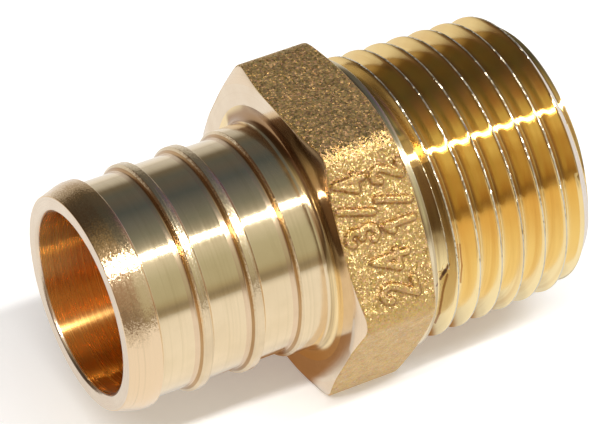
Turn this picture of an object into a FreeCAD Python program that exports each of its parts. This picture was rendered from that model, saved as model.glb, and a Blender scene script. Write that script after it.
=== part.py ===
"""Threaded adapter: a brass fitting turned from one six-sided casting.

Millimetres. The axis runs along X, from the ribbed spigot end to the threaded end, and Z is up.
The origin lies under the middle of the length, on the plane of the lowest flat of the hexagon.
Inside the sketches every length is counted from the open face of the spigot.
"""
import FreeCAD, Part
import os
import Sketcher

# Sizes, each measured from the spigot's open face or from the axis
SIZES = [
    ("overall_length", 36.3, "open face of the spigot to open face of the thread"),
    ("bore_radius", 6.7, "straight hole through the whole part"),
    ("bore_edge", 0.25, "chamfer round both mouths of the bore"),
    ("lead_in_depth", 0.50, "how far the spigot's open face stands below the nose band"),
    ("nose_length", 1.62, "tapered lead-in at the spigot's tip"),
    ("nose_land", 0.75, "full-size band behind the lead-in"),
    ("nose_blend", 2.0, "radius between the lead-in and its band"),
    ("spigot_radius", 8.0, "plain spigot between the ribs"),
    ("rib_height", 0.45, "how far ribs, nose band and collar stand above the spigot"),
    ("rib_front", 0.28, "length of a rib's front slope"),
    ("rib_rear", 0.25, "length of a rib's rear slope"),
    ("rib_land", 0.58, "flat top of a rib"),
    ("rib_start", 5.72, "front edge of the first rib's top"),
    ("rib_spacing", 4.03, "first rib to second rib"),
    ("collar_start", 13.45, "front edge of the collar"),
    ("collar_fillet", 0.7, "fillet between the collar and the hexagon's face"),
    ("hex_start", 15.91, "front face of the hexagon"),
    ("hex_width", 6.31, "hexagon along the axis"),
    ("across_flats", 22.1, "hexagon, flat to flat"),
    ("corner_radius", 1.73, "rounded corners of the cast hexagon"),
    ("front_ring", 0.15, "where the front corner chamfer starts, outside the flats"),
    ("front_fall", 0.30, "front corner chamfer, axial drop per radial length"),
    ("rear_ring", 0.10, "where the rear corner chamfer starts, outside the flats"),
    ("rear_fall", 0.38, "rear corner chamfer, axial drop per radial length"),
    ("shoulder_inset", 0.07, "round shoulder, inside the flats"),
    ("shoulder_width", 0.55, "round shoulder behind the hexagon"),
    ("neck_width", 0.85, "turned neck between the shoulder and the thread"),
    ("neck_depth", 0.70, "neck, below the thread's crest"),
    ("neck_rise", 0.41, "length of the slope from the neck to the crest"),
    ("thread_pitch", 1.8143, "14 threads to the inch"),
    ("thread_end_radius", 10.3575, "crest radius, carried on to the open face"),
    ("thread_taper", 0.0625, "change of diameter per length"),
    ("flank_angle", 30.0, "half of the thread's 60 degree V"),
    ("crest_flat", 0.14, "flat on top of the thread"),
    ("root_flat", 0.07, "flat at the bottom of the groove"),
    ("groove_set_in", 0.865, "groove's first turn, behind the shoulder"),
    ("groove_start_angle", 177.0, "where the groove starts, counted from +Y towards +Z"),
    ("groove_run_out", 1.3, "how far the cutter runs past the open face"),
    ("cutter_margin", 0.02, "how far the cutter stands above the crest"),
    ("end_face_radius", 9.15, "outer radius of the thread's open face"),
    ("end_chamfer", 1.25, "length of the thread's end chamfer"),
    ("hex_cut_reach", 1.0, "how far the chamfer cutter reaches past the corners"),
]

# Lengths and radii that follow from the sizes
LAND_RADIUS = "(sizes.spigot_radius + sizes.rib_height)"
HEX_END = "(sizes.hex_start + sizes.hex_width)"
SHOULDER_END = f"({HEX_END} + sizes.shoulder_width)"
CORNER_REACH = "(sizes.across_flats / sqrt(3) + sizes.hex_cut_reach)"
GROOVE_START = f"({SHOULDER_END} + sizes.groove_set_in)"
FLANK_SLOPE = "tan(sizes.flank_angle * 1 deg)"
GROOVE_DEPTH = f"((sizes.thread_pitch - sizes.crest_flat - sizes.root_flat) / 2 / {FLANK_SLOPE})"
GROOVE_HALF_WIDTH = "(sizes.thread_pitch - sizes.crest_flat) / 2"
CUTTER_HALF_WIDTH = f"({GROOVE_HALF_WIDTH} + sizes.cutter_margin * {FLANK_SLOPE})"

# Two places on the solid count as the same within this distance
NEAR = 0.001
FULL_TURN = 360


def crest_radius(along):
    """Radius of the thread's crest cone at a length from the spigot's open face."""
    return f"(sizes.thread_end_radius + (sizes.overall_length - {along}) * sizes.thread_taper / 2)"


def make_sheet(doc):
    sheet = doc.addObject("Spreadsheet::Sheet", "sizes")
    for row, (alias, value, meaning) in enumerate(SIZES, start=1):
        sheet.set(f"A{row}", alias)
        sheet.set(f"B{row}", str(value))
        sheet.set(f"C{row}", meaning)
        sheet.setAlias(f"B{row}", alias)
    doc.recompute()
    return sheet


def value_of(item, expression):
    """Number that an expression of the sheet's sizes gives."""
    return float(item.evalExpression(expression))


def rotation(axis, degrees):
    """Placement that turns about an axis through the origin."""
    return FreeCAD.Placement(FreeCAD.Vector(), FreeCAD.Rotation(FreeCAD.Vector(*axis), degrees))


def body_sketch(body, name, role):
    """A sketch on one of the body's own origin planes."""
    sketch = body.newObject("Sketcher::SketchObject", name)
    plane = next(plane for plane in body.Origin.OriginFeatures if plane.Role == role)
    sketch.AttachmentSupport = [(plane, "")]
    sketch.MapMode = "FlatFace"
    return sketch


def draw_outline(sketch, corners):
    """Close a polygon through corners given as pairs of expressions, each bound to the sheet."""
    numbers = [(value_of(sketch, across), value_of(sketch, up)) for across, up in corners]
    points = [FreeCAD.Vector(*pair, 0) for pair in numbers]
    count = len(points)
    for index in range(count):
        sketch.addGeometry(Part.LineSegment(points[index], points[(index + 1) % count]))
    for index in range(count):
        sketch.addConstraint(Sketcher.Constraint("Coincident", index, 2, (index + 1) % count, 1))
    for index, pair in enumerate(corners):
        for kind, expression, value in zip(("DistanceX", "DistanceY"), pair, points[index]):
            number = sketch.addConstraint(Sketcher.Constraint(kind, -1, 1, index, 1, value))
            sketch.setExpression(f"Constraints[{number}]", expression)
    sketch.Document.recompute()


def rib_corners(start):
    """Foot, top and foot of one rib whose flat top begins at start."""
    return [
        (f"{start} - sizes.rib_front", "sizes.spigot_radius"),
        (start, LAND_RADIUS),
        (f"{start} + sizes.rib_land", LAND_RADIUS),
        (f"{start} + sizes.rib_land + sizes.rib_rear", "sizes.spigot_radius"),
    ]


def turned_outline():
    """Half section of everything that is turned, from the spigot's face to the thread's face."""
    nose_end = "sizes.nose_length + sizes.nose_land"
    thread_start = f"({SHOULDER_END} + sizes.neck_width + sizes.neck_rise)"
    neck_radius = f"{crest_radius(thread_start)} - sizes.neck_depth"
    shoulder_radius = "sizes.across_flats / 2 - sizes.shoulder_inset"
    chamfer_start = "(sizes.overall_length - sizes.end_chamfer)"
    nose = [
        ("0", "0"),
        ("0", f"{LAND_RADIUS} - sizes.lead_in_depth"),
        ("sizes.nose_length", LAND_RADIUS),
        (nose_end, LAND_RADIUS),
        (f"{nose_end} + sizes.rib_rear", "sizes.spigot_radius"),
    ]
    ribs = rib_corners("sizes.rib_start") + rib_corners("(sizes.rib_start + sizes.rib_spacing)")
    collar = [
        ("sizes.collar_start - sizes.rib_front", "sizes.spigot_radius"),
        ("sizes.collar_start", LAND_RADIUS),
        ("sizes.hex_start", LAND_RADIUS),
    ]
    shoulder = [
        ("sizes.hex_start", shoulder_radius),
        (SHOULDER_END, shoulder_radius),
        (SHOULDER_END, neck_radius),
        (f"{SHOULDER_END} + sizes.neck_width", neck_radius),
    ]
    thread = [
        (thread_start, crest_radius(thread_start)),
        (chamfer_start, crest_radius(chamfer_start)),
        ("sizes.overall_length", "sizes.end_face_radius"),
        ("sizes.overall_length", "0"),
    ]
    return nose + ribs + collar + shoulder + thread


def revolve(body, kind, name, sketch):
    """Turn a sketch once round the X axis, as material or as a cut."""
    feature = body.newObject(kind, name)
    feature.Profile = sketch
    feature.ReferenceAxis = (sketch, ["H_Axis"])
    feature.Angle = FULL_TURN
    sketch.Document.recompute()
    return feature


def round_edges(body, name, base, test, radius):
    """Round the edges of a feature that pass a test."""
    numbered = enumerate(base.Shape.Edges, start=1)
    fillet = body.newObject("PartDesign::Fillet", name)
    fillet.Base = (base, [f"Edge{number}" for number, edge in numbered if test(edge)])
    fillet.setExpression("Radius", radius)
    body.Document.recompute()
    return fillet


def ring_test(item, along, radius):
    """Test for the circular edge of one radius at one length from the spigot's open face."""
    place, half_span = value_of(item, along), value_of(item, radius)

    def is_ring(edge):
        box = edge.BoundBox
        at_place = box.XLength < NEAR and abs(box.XMin - place) < NEAR
        return at_place and abs(box.YLength / 2 - half_span) < NEAR

    return is_ring


def corner_test(item):
    """Test for the hexagon's long edges, which run along the axis outside the flats."""
    width, flat = value_of(item, "sizes.hex_width"), value_of(item, "sizes.across_flats / 2")

    def is_corner(edge):
        centre = edge.CenterOfMass
        far_out = (centre.y ** 2 + centre.z ** 2) ** 0.5 > flat + NEAR
        return far_out and abs(edge.BoundBox.XLength - width) < NEAR

    return is_corner


def add_turned_shape(body):
    """Spigot, collar, shoulder and thread blank in one revolved solid."""
    sketch = body_sketch(body, "turned_section", "XZ_Plane")
    # Half a turn about the axis puts the seam of the turned faces underneath
    sketch.AttachmentOffset = rotation((1, 0, 0), FULL_TURN / 2)
    draw_outline(sketch, turned_outline())
    turned = revolve(body, "PartDesign::Revolution", "turned_shape", sketch)
    nose_edge = ring_test(turned, "sizes.nose_length", LAND_RADIUS)
    return round_edges(body, "nose_rounding", turned, nose_edge, "sizes.nose_blend")


def add_hexagon(body):
    """Six cast flats with rounded corners, one flat down."""
    sketch = body_sketch(body, "hexagon_section", "YZ_Plane")
    sketch.setExpression("AttachmentOffset.Base.z", "sizes.hex_start")
    corner = "sizes.across_flats / sqrt(3)"
    half_side = "sizes.across_flats / sqrt(3) / 2"
    flat = "sizes.across_flats / 2"
    draw_outline(sketch, [
        (corner, "0"),
        (half_side, flat),
        (f"-{half_side}", flat),
        (f"-{corner}", "0"),
        (f"-{half_side}", f"-{flat}"),
        (half_side, f"-{flat}"),
    ])
    pad = body.newObject("PartDesign::Pad", "hexagon")
    pad.Profile = sketch
    pad.setExpression("Length", "sizes.hex_width")
    body.Document.recompute()
    return round_edges(body, "hexagon_corners", pad, corner_test(pad), "sizes.corner_radius")


def add_corner_chamfer(body, name, face, ring, fall):
    """Turned cone that takes the hexagon's corners off, falling away from one face."""
    sketch = body_sketch(body, f"{name}_section", "XZ_Plane")
    ring_radius = f"(sizes.across_flats / 2 + {ring})"
    draw_outline(sketch, [
        (face, ring_radius),
        (f"{face} + {fall} * ({CORNER_REACH} - {ring_radius})", CORNER_REACH),
        (face, CORNER_REACH),
    ])
    return revolve(body, "PartDesign::Groove", name, sketch)


def add_collar_fillet(body, base):
    """Fillet where the collar runs into the hexagon's turned face."""
    collar_root = ring_test(base, "sizes.hex_start", LAND_RADIUS)
    return round_edges(body, "collar_root_fillet", base, collar_root, "sizes.collar_fillet")


def add_bore(body):
    """Straight bore with a small chamfer at both mouths."""
    sketch = body_sketch(body, "bore_section", "XZ_Plane")
    mouth = "sizes.bore_radius + sizes.bore_edge"
    draw_outline(sketch, [
        ("0", "0"),
        ("0", mouth),
        ("sizes.bore_edge", "sizes.bore_radius"),
        ("sizes.overall_length - sizes.bore_edge", "sizes.bore_radius"),
        ("sizes.overall_length", mouth),
        ("sizes.overall_length", "0"),
    ])
    return revolve(body, "PartDesign::Groove", "bore", sketch)


def make_thread_cutter(doc):
    """V groove section swept along a tapered helix round X, from the neck out past the open face."""
    root_radius = f"({crest_radius(GROOVE_START)} - {GROOVE_DEPTH})"
    crest = f"{crest_radius(GROOVE_START)} + sizes.cutter_margin"

    section = doc.addObject("Sketcher::SketchObject", "thread_groove_section")
    draw_outline(section, [
        (f"{GROOVE_START} - sizes.root_flat / 2", root_radius),
        (f"{GROOVE_START} + sizes.root_flat / 2", root_radius),
        (f"{GROOVE_START} + {CUTTER_HALF_WIDTH}", crest),
        (f"{GROOVE_START} - {CUTTER_HALF_WIDTH}", crest),
    ])

    path = doc.addObject("Part::Helix", "thread_path")
    path.setExpression("Pitch", "sizes.thread_pitch")
    path.setExpression("Height", f"sizes.overall_length + sizes.groove_run_out - {GROOVE_START}")
    path.setExpression("Radius", root_radius)
    path.setExpression("Angle", "-atan(sizes.thread_taper / 2)")
    # A third of a turn about the space diagonal lays the helix's own Z along X and its start along Y
    path.Placement = rotation((1, 1, 1), FULL_TURN / 3)
    path.setExpression("Placement.Base.x", GROOVE_START)
    # One edge for each turn keeps the swept faces short, and the cut below sound
    path.SegmentLength = 1
    doc.recompute()

    cutter = doc.addObject("Part::Sweep", "thread_cutter")
    cutter.Sections = [section]
    cutter.Spine = (path, [f"Edge{number}" for number in range(1, len(path.Shape.Edges) + 1)])
    cutter.Solid = True
    cutter.Frenet = True
    # The bound angle below replaces this one, which only sets the axis
    cutter.Placement = rotation((1, 0, 0), FULL_TURN / 2)
    cutter.setExpression("Placement.Rotation.Angle", "sizes.groove_start_angle")
    doc.recompute()
    return cutter


def make_adapter(doc):
    body = doc.addObject("PartDesign::Body", "turned_casting")
    add_turned_shape(body)
    add_hexagon(body)
    add_corner_chamfer(body, "front_chamfer", "sizes.hex_start", "sizes.front_ring", "sizes.front_fall")
    rear = add_corner_chamfer(body, "rear_chamfer", HEX_END, "sizes.rear_ring", "-sizes.rear_fall")
    add_collar_fillet(body, rear)
    add_bore(body)

    adapter = doc.addObject("Part::Cut", "adapter_body")
    adapter.Base = body
    adapter.Tool = make_thread_cutter(doc)
    adapter.setExpression("Placement.Base.x", "-sizes.overall_length / 2")
    adapter.setExpression("Placement.Base.z", "sizes.across_flats / 2")
    doc.recompute()
    return adapter


def check_and_export(doc, nodes):
    """Stop on any failed object, then write one file for each node."""
    for item in doc.Objects:
        bad = {"Invalid", "Error"}.intersection(item.State)
        if bad:
            raise RuntimeError(f"{item.Name}: {sorted(bad)}")
    os.makedirs("parts", exist_ok=True)
    for node in nodes:
        if node.Shape.isNull() or not node.Shape.isValid():
            raise RuntimeError(f"{node.Name}: shape is not sound")
        node.Label = node.Name
        node.Shape.exportStep(f"parts/{node.Label}.step")
        box = node.Shape.BoundBox
        print(node.Label, "solids", len(node.Shape.Solids), "volume", round(node.Shape.Volume, 1))
        print("  x", round(box.XMin, 2), round(box.XMax, 2), "y", round(box.YMin, 2), round(box.YMax, 2),
              "z", round(box.ZMin, 2), round(box.ZMax, 2))


doc = FreeCAD.newDocument("threaded_adapter")
make_sheet(doc)
adapter = make_adapter(doc)
check_and_export(doc, [adapter])
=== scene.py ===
# %% [markdown]
# # A brass threaded adapter
# The real object is one piece of brass. A six-sided blank was cast, and then a lathe turned both of
# its ends: a ribbed spigot for a crimped tube, and a tapered pipe thread. The model follows the same
# order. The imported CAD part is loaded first, because it fixes the size and the place of everything.

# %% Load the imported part
import math

import bmesh
import bpy
import numpy as np
from mathutils import Matrix, Vector


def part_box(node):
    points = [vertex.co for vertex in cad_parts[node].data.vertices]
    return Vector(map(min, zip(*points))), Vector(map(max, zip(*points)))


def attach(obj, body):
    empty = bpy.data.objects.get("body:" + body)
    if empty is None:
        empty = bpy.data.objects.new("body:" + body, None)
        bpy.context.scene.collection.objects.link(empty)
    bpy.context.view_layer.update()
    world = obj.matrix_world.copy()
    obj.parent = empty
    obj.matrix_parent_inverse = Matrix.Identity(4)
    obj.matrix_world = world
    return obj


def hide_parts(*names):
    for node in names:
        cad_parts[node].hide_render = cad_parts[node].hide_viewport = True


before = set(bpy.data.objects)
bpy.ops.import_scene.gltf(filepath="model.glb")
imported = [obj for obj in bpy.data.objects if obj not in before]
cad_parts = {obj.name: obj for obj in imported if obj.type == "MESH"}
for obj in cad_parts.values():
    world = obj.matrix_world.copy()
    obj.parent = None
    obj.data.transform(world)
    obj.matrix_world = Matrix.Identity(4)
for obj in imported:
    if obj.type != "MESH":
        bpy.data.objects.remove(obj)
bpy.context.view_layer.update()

MM = 0.001
NODE = "adapter_body"
low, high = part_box(NODE)
LENGTH = (high.x - low.x) / MM
AXIS_HEIGHT = (high.z - low.z) / 2 / MM
print("the part is", round(LENGTH, 2), "mm long, and its axis is", round(AXIS_HEIGHT, 2), "mm up")

# %% [markdown]
# ## Camera
# The photograph was taken from above and from the spigot's side, through a long lens. Where the
# camera stood was worked out from the outlines of the ribs and of the hexagon. So it is placed by
# three directions, its right, its up and its back, and not by turning it until it looks right.

# %% Place the camera
CAMERA_AT = Vector((-0.10881, -0.20706, 0.19818))
CAMERA_RIGHT = Vector((0.87910, -0.47629, -0.01818))
CAMERA_UP = Vector((0.30910, 0.54065, 0.78240))
CAMERA_BACK = Vector((-0.36282, -0.69343, 0.62251))
SENSOR_WIDTH = 36.0
FOCAL_LENGTH = 250.79
NEAREST_SEEN = 0.01
FARTHEST_SEEN = 20.0

camera = bpy.data.objects.new("camera", bpy.data.cameras.new("camera"))
camera.data.sensor_width = SENSOR_WIDTH
camera.data.lens = FOCAL_LENGTH
camera.data.clip_start = NEAREST_SEEN
camera.data.clip_end = FARTHEST_SEEN
camera_turn = Matrix((CAMERA_RIGHT, CAMERA_UP, CAMERA_BACK)).transposed().to_4x4()
camera.matrix_world = Matrix.Translation(CAMERA_AT) @ camera_turn
bpy.context.scene.collection.objects.link(camera)
bpy.context.scene.camera = camera
bpy.context.scene.view_settings.view_transform = "Standard"
print("camera distance", round(CAMERA_AT.length, 3), "m")

# %% [markdown]
# ## Turned sections
# A lathe leaves one outline, spun round the axis. Blender's screw modifier could spin a line, but the
# hexagon and the thread aren't round. So the mesh is a stack of rings with the same number of points,
# and each point has its own length along the axis and its own radius. Neighbouring rings are joined by
# bands of faces. Every ring starts at the angle where the thread cutter bit in, so that the thread's
# turns can be counted from the first column of points. Lengths are in millimetres from the spigot's
# mouth until the mesh is made.

# %% Ring of points
RING_POINTS = 360
START_ANGLE = 177.0
STEP = 360.0 / RING_POINTS
column = np.arange(RING_POINTS)
angle = np.radians(START_ANGLE + column * STEP)
rings = []
finishes = []


def add_ring(along, out, finish):
    """One ring of points, and the finish of the band that leads to the next ring."""
    rings.append((np.broadcast_to(along, RING_POINTS), np.broadcast_to(out, RING_POINTS)))
    finishes.append(finish)


print("each ring has", RING_POINTS, "points, one every", STEP, "degrees")

# %% [markdown]
# ## Small roundings
# A real edge is never perfectly sharp, and its rounding catches a thin line of light. A bevel modifier
# could round the edges after spinning, but here every corner has its own rounding. So the corners of
# the section are rounded before they are spun: each corner carries the radius of its own arc.

# %% Round the corners of a section
def rounded(corners, steps=3):
    """Section line through corners given as (length, radius, rounding)."""
    line = []
    for index, (along, out, rounding) in enumerate(corners):
        here = np.array([along, out])
        if rounding == 0 or index in (0, len(corners) - 1):
            line.append(here)
            continue
        before = np.array(corners[index - 1][:2]) - here
        after = np.array(corners[index + 1][:2]) - here
        before /= np.linalg.norm(before)
        after /= np.linalg.norm(after)
        half = math.acos(np.clip(before @ after, -1, 1)) / 2
        middle = (before + after) / np.linalg.norm(before + after)
        centre = here + middle * rounding / math.sin(half)
        first = here + before * rounding / math.tan(half) - centre
        last = here + after * rounding / math.tan(half) - centre
        for share in np.linspace(0, 1, steps + 1):
            spoke = first * (1 - share) + last * share
            line.append(centre + spoke * rounding / np.linalg.norm(spoke))
    return line


print("a rounded corner has", len(rounded([(0.0, 0.0, 0), (1.0, 0.0, 0.2), (1.0, 1.0, 0)])) - 2, "points")

# %% [markdown]
# ## Mouth and nose of the spigot
# The tube is pushed over the nose, so the nose is tapered, and its front edge is worn by handling. A
# flat ring with a small chamfer leads into the bore. Both are one section from the bore outwards. The
# taper blends into the first land with a wide rounding, and then drops to the seat of the tube.

# %% Section of the mouth and nose
BORE_RADIUS = 6.7
BORE_EDGE = 0.25
SPIGOT_RADIUS = 8.0
LAND_RADIUS = 8.45
NOSE_TIP_RADIUS = 7.95
NOSE_TIP_ROUNDING = 0.10
NOSE_LENGTH = 1.62
NOSE_END = 2.37
NOSE_BLEND = 2.0
NOSE_STEPS = 4
RIB_REAR = 0.25
REAR_FOOT = 0.08
EDGE = 0.05

mouth = rounded([
    (BORE_EDGE, BORE_RADIUS, 0),
    (0, BORE_RADIUS + BORE_EDGE, EDGE),
    (0, NOSE_TIP_RADIUS - 2 * EDGE, 0),
])
for along, out in mouth:
    add_ring(along, out, "end_face")
nose = rounded([
    (0, BORE_RADIUS + BORE_EDGE, 0),
    (0, NOSE_TIP_RADIUS, NOSE_TIP_ROUNDING),
    (NOSE_LENGTH, LAND_RADIUS, NOSE_BLEND),
    (NOSE_END, LAND_RADIUS, EDGE),
    (NOSE_END + RIB_REAR, SPIGOT_RADIUS, REAR_FOOT),
    (NOSE_END + RIB_REAR + REAR_FOOT, SPIGOT_RADIUS, 0),
], NOSE_STEPS)
for along, out in nose[1:]:
    worn = out > SPIGOT_RADIUS + EDGE or along < NOSE_LENGTH
    add_ring(along, out, "worn_edge" if worn else "turned")
print("rings of the mouth and nose", len(rings))

# %% [markdown]
# ## Ribs
# A crimp squeezes the tube into the hollows between the ribs, and the ribs hold it. Each rib has a
# short slope in front, a flat land and a short slope behind. Spinning one small section gives a rib,
# and a loop sets it at each place. The tool left a duller band just in front of each slope, and a brown
# line of painted shade lies at its foot, so these bands get finishes of their own. That is truer than
# one texture for all.

# %% Slope in front of a rib
RIB_FRONT = 0.28
RIB_FOOT_RADIUS = 8.25
FRONT_FOOT = 0.16


def front_slope(start):
    """Corners from the seat of the tube up to a land that begins at start."""
    foot_length = RIB_FRONT * (LAND_RADIUS - RIB_FOOT_RADIUS) / (LAND_RADIUS - SPIGOT_RADIUS)
    return [
        (start - RIB_FRONT - FRONT_FOOT, SPIGOT_RADIUS, 0),
        (start - RIB_FRONT, SPIGOT_RADIUS, FRONT_FOOT),
        (start - foot_length, RIB_FOOT_RADIUS, 0),
        (start, LAND_RADIUS, EDGE),
    ]


print("a rib rises", round(LAND_RADIUS - SPIGOT_RADIUS, 2), "mm over", RIB_FRONT, "mm")

# %% Section of the ribs
RIB_STARTS = (5.72, 9.75)
RIB_LAND = 0.58
RIB_APPROACH = 0.38


def rib_finish(past_start, out):
    """Finish of a band on a rib: its approach and foot in front, its slope and land, and its back."""
    if past_start < 0 and out < RIB_FOOT_RADIUS - EDGE:
        return "rib_foot" if out > SPIGOT_RADIUS + EDGE / 4 else "rib_approach"
    return "rib_land" if out > SPIGOT_RADIUS + EDGE else "turned"


for start in RIB_STARTS:
    rib = rounded(front_slope(start) + [
        (start + RIB_LAND, LAND_RADIUS, EDGE),
        (start + RIB_LAND + RIB_REAR, SPIGOT_RADIUS, REAR_FOOT),
        (start + RIB_LAND + RIB_REAR + REAR_FOOT, SPIGOT_RADIUS, 0),
    ])
    add_ring(start - RIB_FRONT - RIB_APPROACH, SPIGOT_RADIUS, "rib_approach")
    for along, out in rib[1:]:
        add_ring(along, out, rib_finish(along - start, out))
print("ribs at", RIB_STARTS, "mm from the mouth")

# %% [markdown]
# ## Collar and fillet
# The last rib is a collar that stops the tube, and it runs on to the hexagon. Where they meet, the
# round tip of the tool left a fillet. It could be a bevel added later, but it is one more rounding of
# the section, with more steps than the others, because it is wide enough to show its curve.

# %% Section of the collar
COLLAR_START = 13.45
COLLAR_MIDDLE = COLLAR_START + 1
HEX_START = 15.91
COLLAR_FILLET = 0.7
FILLET_STEPS = 10
ON_FACE_RADIUS = 10

collar = rounded(front_slope(COLLAR_START) + [(COLLAR_MIDDLE, LAND_RADIUS, 0)])
add_ring(COLLAR_START - RIB_FRONT - RIB_APPROACH, SPIGOT_RADIUS, "rib_approach")
for along, out in collar[1:-1]:
    add_ring(along, out, rib_finish(along - COLLAR_START, out) if along < COLLAR_START else "turned")
fillet = rounded([
    (COLLAR_MIDDLE, LAND_RADIUS, 0),
    (HEX_START, LAND_RADIUS, COLLAR_FILLET),
    (HEX_START, ON_FACE_RADIUS, 0),
], FILLET_STEPS)
for along, out in fillet[1:-1]:
    add_ring(along, out, "fillet" if out > LAND_RADIUS + EDGE / 2 else "turned")
print("rings of the whole spigot", len(rings))

# %% [markdown]
# ## Hexagon
# The hexagon is where a wrench grips. Its flats are as cast, and its corners are round from the mould.
# It could be a six-sided prism with bevels, joined to the turned ends by a boolean, but a boolean
# leaves ragged faces. A rounded hexagon has just one radius for each angle, so it fits into the same
# stack of rings: the rings only stop being round.

# %% Radius of the hexagon
FLAT = AXIS_HEIGHT
CORNER_ROUNDING = 1.73
CORNER_STEP = 60.0
HALF_CORNER = math.radians(CORNER_STEP / 2)


def hexagon_radius(turn_angle):
    """Distance from the axis to the skin of the rounded hexagon."""
    from_corner = (np.degrees(turn_angle) + CORNER_STEP / 2) % CORNER_STEP - CORNER_STEP / 2
    from_corner = np.radians(from_corner)
    from_flat = HALF_CORNER - np.abs(from_corner)
    centre = (FLAT - CORNER_ROUNDING) / math.cos(HALF_CORNER)
    under_root = np.maximum(CORNER_ROUNDING ** 2 - (centre * np.sin(from_corner)) ** 2, 0)
    on_corner = centre * np.cos(from_corner) + np.sqrt(under_root)
    arc_starts_at = math.atan((FLAT - CORNER_ROUNDING) * math.tan(HALF_CORNER) / FLAT)
    return np.where(from_flat < arc_starts_at, FLAT / np.cos(from_flat), on_corner)


skin = hexagon_radius(angle)
print("hexagon radius", round(float(skin.min()), 2), "to", round(float(skin.max()), 2), "mm")

# %% [markdown]
# ## Faces beside the flats
# The two faces beside the flats are turned. A cutter held at a slant then took the corners off, which
# is why each face falls away towards the corners and shows a curved edge above every flat. The rings
# follow that cone: where the hexagon is wider than the flat part of the face, they step back along the
# axis. The flats get many rows of faces, because figures will rise from one of them.

# %% Fall of the two faces
HEX_WIDTH = 6.31
HEX_END = HEX_START + HEX_WIDTH
FRONT_RING = 0.15
FRONT_FALL = 0.30
REAR_RING = 0.10
REAR_FALL = 0.38


def front_face(out):
    """Length at which the face on the spigot's side lies, at a radius."""
    return HEX_START + FRONT_FALL * np.maximum(out - FLAT - FRONT_RING, 0)


def rear_face(out):
    """Length at which the face on the thread's side lies, at a radius."""
    return HEX_END - REAR_FALL * np.maximum(out - FLAT - REAR_RING, 0)


print("the front face falls back", round(float(front_face(skin.max())) - HEX_START, 2), "mm at a corner")

# %% Rings of the hexagon
HEX_EDGE = 0.10
MID_EDGE = HEX_EDGE * 0.3
CUT_INSET = HEX_EDGE * 1.2
FACE_RING_RADII = (9.6, 10.2, 10.75)
FLAT_ROWS = 27

for out in FACE_RING_RADII:
    add_ring(HEX_START, out, "turned_face")
cut_ring = np.minimum(FLAT + FRONT_RING, skin - CUT_INSET)
add_ring(front_face(cut_ring), cut_ring, "corner_cut")
add_ring(front_face(skin - HEX_EDGE), skin - HEX_EDGE, "cast")
add_ring(front_face(skin) + MID_EDGE, skin - MID_EDGE, "cast")
flat_start = front_face(skin) + HEX_EDGE
flat_end = rear_face(skin) - HEX_EDGE
for share in np.linspace(0, 1, FLAT_ROWS):
    add_ring(flat_start * (1 - share) + flat_end * share, skin, "cast")
add_ring(rear_face(skin) - MID_EDGE, skin - MID_EDGE, "turned_face")
add_ring(rear_face(skin - HEX_EDGE), skin - HEX_EDGE, "turned_face")
print("the hexagon is", HEX_WIDTH, "mm wide and", round(2 * FLAT, 2), "mm across the flats")

# %% [markdown]
# ## Shoulder
# Behind the hexagon a short round shoulder is left, nearly as wide as the flats, and behind it the
# tool went down to the neck where the thread begins. A separate disc would leave a seam. So it is one
# more turned section in the same stack, with a small rounding at its edge and another at its foot.

# %% Section of the shoulder
SHOULDER_RADIUS = 10.98
SHOULDER_END = 22.77
SHOULDER_LEAD = 0.02
SHOULDER_ROUNDING = 0.07
NECK_RADIUS = 10.0
NECK_ROUNDING = 0.08
THREAD_ROWS_START = 22.95

shoulder = rounded([
    (HEX_END, SHOULDER_RADIUS - SHOULDER_LEAD, 0),
    (HEX_END + SHOULDER_LEAD, SHOULDER_RADIUS, 0),
    (SHOULDER_END, SHOULDER_RADIUS, SHOULDER_ROUNDING),
    (SHOULDER_END, NECK_RADIUS, NECK_ROUNDING),
    (THREAD_ROWS_START, NECK_RADIUS, 0),
])
for along, out in shoulder[:-1]:
    add_ring(along, out, "shoulder")
print("the shoulder ends", SHOULDER_END, "mm from the mouth")

# %% [markdown]
# ## Thread
# The thread is a V groove that winds round a cone, so every turn is a little smaller than the one
# before it. Blender's screw modifier could wind a V, but its ends would stay open and would not run
# out into the neck. A formula is easier to control: for any length and angle it says how far away the
# nearest turn of the groove is, and so the radius. The crest is softened, as a real one is no knife.

# %% Section of the groove
PITCH = 1.8143
TAPER = 0.0625
FLANK_ANGLE = math.radians(30)
CREST_FLAT = 0.14
ROOT_FLAT = 0.07
CREST_SOFTNESS = 0.05
GROOVE_DEPTH = (PITCH - CREST_FLAT - ROOT_FLAT) / 2 / math.tan(FLANK_ANGLE)
GROOVE_AT = SHOULDER_END + 0.865
THREAD_END_RADIUS = 10.3575
END_CHAMFER = 1.25
END_FACE_RADIUS = 9.15


def crest_radius(along):
    """Radius of the cone that the groove is cut into."""
    return THREAD_END_RADIUS + (LENGTH - along) * TAPER / 2


def chamfer_radius(along):
    """Radius of the steep cone at the thread's open end."""
    slope = (crest_radius(LENGTH - END_CHAMFER) - END_FACE_RADIUS) / END_CHAMFER
    return END_FACE_RADIUS + (LENGTH - along) * slope


def soft_min(one, other, softness):
    """The smaller of two radii, with their crossing rounded off."""
    overlap = np.maximum(softness - np.abs(one - other), 0) / softness
    return np.minimum(one, other) - overlap ** 2 * softness / 4


print("the groove is", round(GROOVE_DEPTH, 2), "mm deep with a pitch of", PITCH, "mm")

# %% [markdown]
# ## Where the cutter bit in
# The cutter started in the neck beside the shoulder. It dwelt there for part of a turn, which left a
# shallow floor, and then bit in with a short slanted wall. A table of a few angles says how deep it
# stood. The mesh takes the larger of this floor and the groove, so the groove ends where it should.

# %% Floor that the cutter left
DWELL_RADIUS = 9.82
BITE_RADIUS = 9.3
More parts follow.
